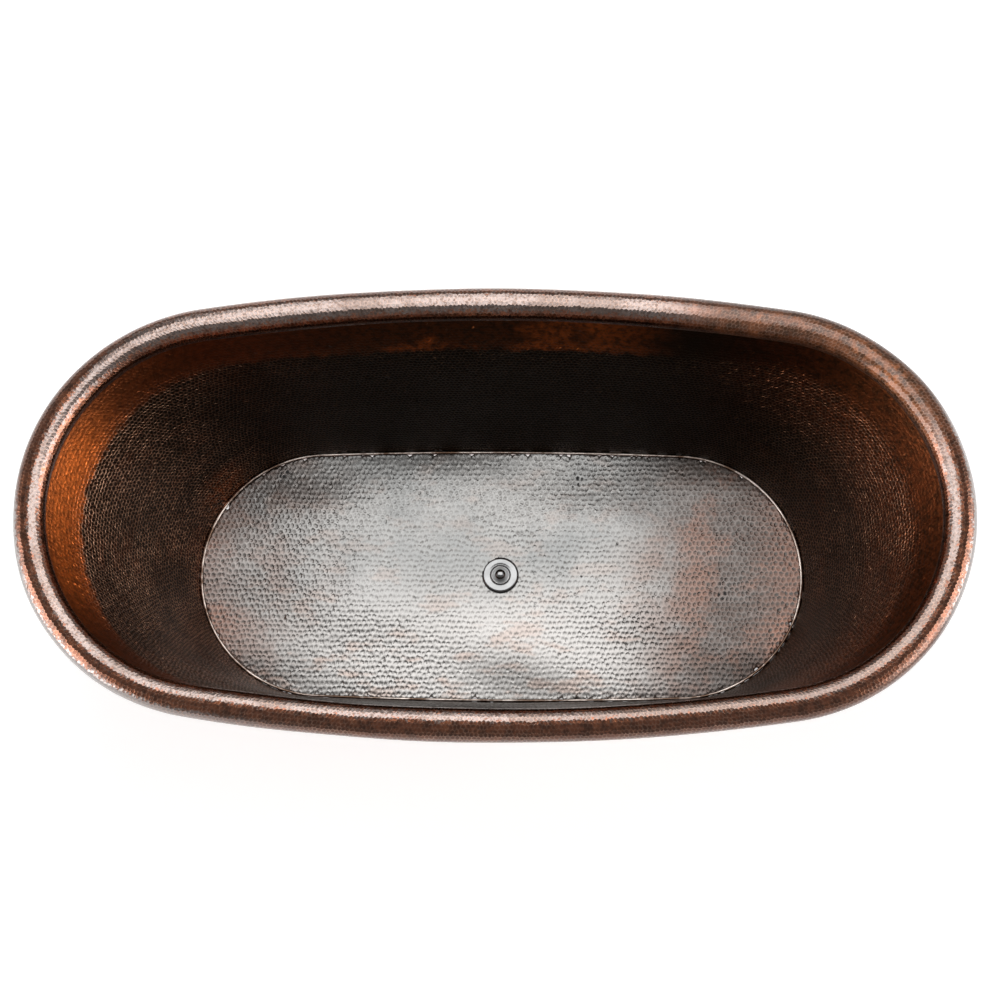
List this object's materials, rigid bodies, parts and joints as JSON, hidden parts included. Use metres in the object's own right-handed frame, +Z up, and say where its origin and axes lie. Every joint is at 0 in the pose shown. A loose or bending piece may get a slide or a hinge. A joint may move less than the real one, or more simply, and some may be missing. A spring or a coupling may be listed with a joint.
{
  "type": "freestanding bathtub",
  "caption": "Double-ended oval bathtub of hammered copper with a rolled rim, base skirt, levelling feet and a lift-and-turn drain stopper.",
  "frame": {"origin": "on the ground under the middle of the tub", "axes": "+X along the tub to the right, +Y to the far side, +Z up"},
  "size_m": [1.78, 0.864, 0.65],
  "materials": {
    "aged_copper": "hammered copper with a dark fired patina",
    "floor_copper": "hammered copper worn to a pale grey sheen",
    "braze": "filed braze bead",
    "frame_paint": "black powder coat on steel",
    "zinc_steel": "zinc plated",
    "chrome": "bright chrome",
    "brass": "turned brass",
    "rubber": "matte black",
    "nylon": "natural nylon"
  },
  "bodies": {
    "tub": {"wall_sheet_front": "aged_copper", "wall_sheet_rear": "aged_copper", "rim_roll": "aged_copper", "base_skirt": "aged_copper", "floor_sheet": "floor_copper", "floor_bead": "braze", "frame_rail_front": "frame_paint", "frame_rail_rear": "frame_paint", "cross_bar_1": "frame_paint", "cross_bar_2": "frame_paint", "cross_bar_3": "frame_paint", "cross_bar_4": "frame_paint", "floor_strip_1": "rubber", "floor_strip_2": "rubber", "floor_strip_3": "rubber", "floor_strip_4": "rubber", "foot_1_weld_nut": "zinc_steel", "foot_1_lock_nut": "zinc_steel", "foot_2_weld_nut": "zinc_steel", "foot_2_lock_nut": "zinc_steel", "foot_3_weld_nut": "zinc_steel", "foot_3_lock_nut": "zinc_steel", "foot_4_weld_nut": "zinc_steel", "foot_4_lock_nut": "zinc_steel", "drain_flange_body": "chrome", "drain_gasket": "rubber", "drain_rubber_washer": "rubber", "drain_slip_washer": "nylon", "drain_locknut": "brass", "stopper_post": "brass"},
    "stopper_guide": {"guide_ring": "brass"},
    "stopper": {"stopper_cap": "chrome", "stopper_seal": "rubber", "seal_retainer": "brass", "stopper_knob": "chrome", "knob_screw": "zinc_steel"},
    "foot_1_base": {"foot_1_pad": "rubber"},
    "foot_1_screw": {"foot_1_stud": "zinc_steel"},
    "foot_2_base": {"foot_2_pad": "rubber"},
    "foot_2_screw": {"foot_2_stud": "zinc_steel"},
    "foot_3_base": {"foot_3_pad": "rubber"},
    "foot_3_screw": {"foot_3_stud": "zinc_steel"},
    "foot_4_base": {"foot_4_pad": "rubber"},
    "foot_4_screw": {"foot_4_stud": "zinc_steel"}
  },
  "joints": [
    {"name": "stopper_turn", "type": "hinge", "parent": "tub", "child": "stopper_guide", "pos_m": [0, 0, 0.0666], "axis": [0, 0, 1], "range_deg": [0, 90]},
    {"name": "stopper_lift", "type": "slide", "parent": "stopper_guide", "child": "stopper", "axis": [0, 0, 1], "range_m": [0, 0.009]},
    {"name": "foot_1_height", "type": "slide", "parent": "tub", "child": "foot_1_base", "axis": [0, 0, 1], "range_m": [-0.008, 0.006]},
    {"name": "foot_1_turn", "type": "hinge", "parent": "foot_1_base", "child": "foot_1_screw", "pos_m": [-0.36061, -0.17, 0], "axis": [0, 0, 1], "range_deg": [-1920, 1440]},
    {"name": "foot_2_height", "type": "slide", "parent": "tub", "child": "foot_2_base", "axis": [0, 0, 1], "range_m": [-0.008, 0.006]},
    {"name": "foot_2_turn", "type": "hinge", "parent": "foot_2_base", "child": "foot_2_screw", "pos_m": [0.36061, -0.17, 0], "axis": [0, 0, 1], "range_deg": [-1920, 1440]},
    {"name": "foot_3_height", "type": "slide", "parent": "tub", "child": "foot_3_base", "axis": [0, 0, 1], "range_m": [-0.008, 0.006]},
    {"name": "foot_3_turn", "type": "hinge", "parent": "foot_3_base", "child": "foot_3_screw", "pos_m": [0.36061, 0.17, 0], "axis": [0, 0, 1], "range_deg": [-1920, 1440]},
    {"name": "foot_4_height", "type": "slide", "parent": "tub", "child": "foot_4_base", "axis": [0, 0, 1], "range_m": [-0.008, 0.006]},
    {"name": "foot_4_turn", "type": "hinge", "parent": "foot_4_base", "child": "foot_4_screw", "pos_m": [-0.36061, 0.17, 0], "axis": [0, 0, 1], "range_deg": [-1920, 1440]}
  ],
  "couplings": [
    {"joint": "foot_1_turn", "follows": "foot_1_height", "rad_per_m": 4188.8},
    {"joint": "foot_2_turn", "follows": "foot_2_height", "rad_per_m": 4188.8},
    {"joint": "foot_3_turn", "follows": "foot_3_height", "rad_per_m": 4188.8},
    {"joint": "foot_4_turn", "follows": "foot_4_height", "rad_per_m": 4188.8}
  ]
}
